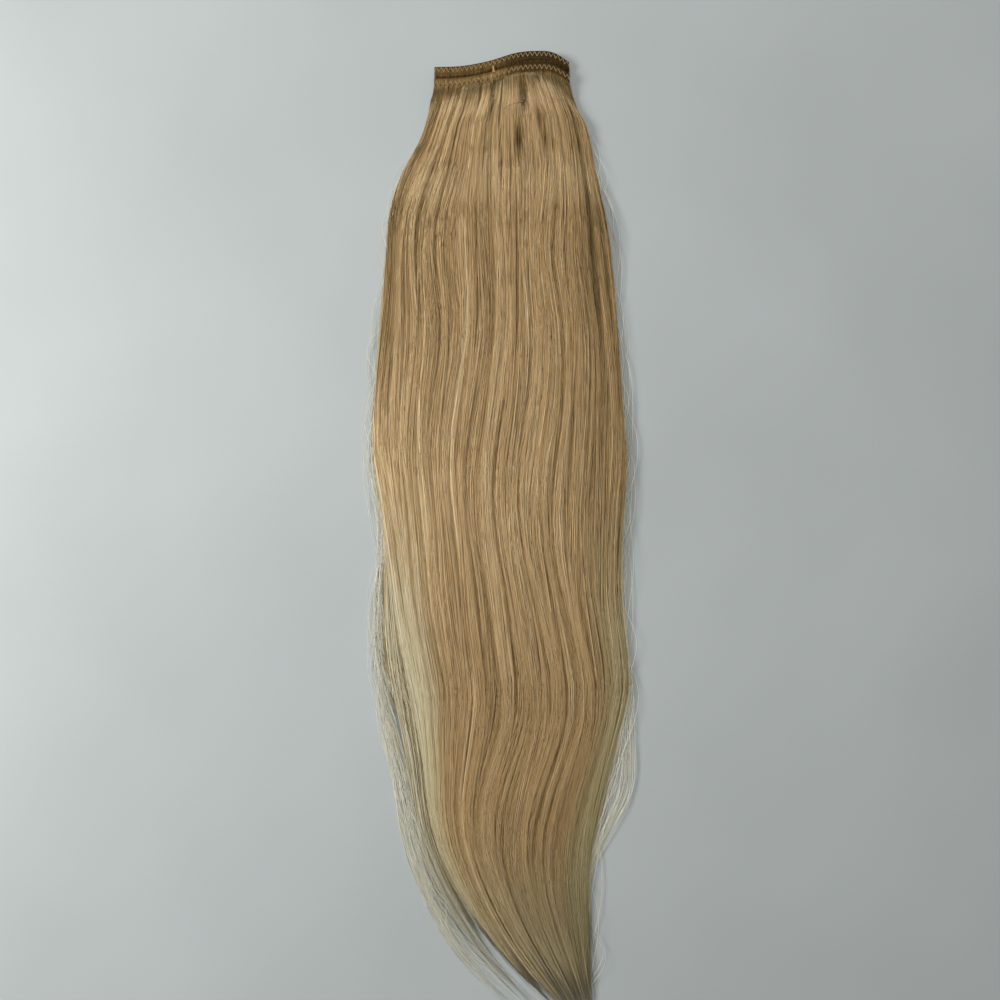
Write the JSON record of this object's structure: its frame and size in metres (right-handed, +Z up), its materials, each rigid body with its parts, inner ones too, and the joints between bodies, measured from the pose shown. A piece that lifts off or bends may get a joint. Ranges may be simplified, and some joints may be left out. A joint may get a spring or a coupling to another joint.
{
  "type": "clip-in hair extension",
  "caption": "Clip-in hair extension lying flat: sewn weft bands, long honey-blond hair over a paler under layer, combed in a slow S that gathers to a point, with comb clips under the weft.",
  "frame": {"origin": "centre of the bounding box at its lowest face, on the surface that the extension lies on", "axes": "+X along the wefts to the picture's right, +Y from the hair tips to the wefts, +Z up off the surface"},
  "size_m": [0.1624, 0.6038, 0.0097],
  "materials": {
    "honey_hair": "silky hair fibre",
    "pale_hair": "silky hair fibre",
    "weft_band": "machine-sewn hair and tape",
    "sewing_thread": "twisted polyester thread",
    "clip_metal": "satin brown enamel"
  },
  "bodies": {
    "root": {"front_band": "weft_band", "rear_band": "weft_band", "front_hair": "honey_hair", "rear_hair": "pale_hair", "left_clip": "clip_metal", "right_clip": "clip_metal"}
  },
  "joints": []
}
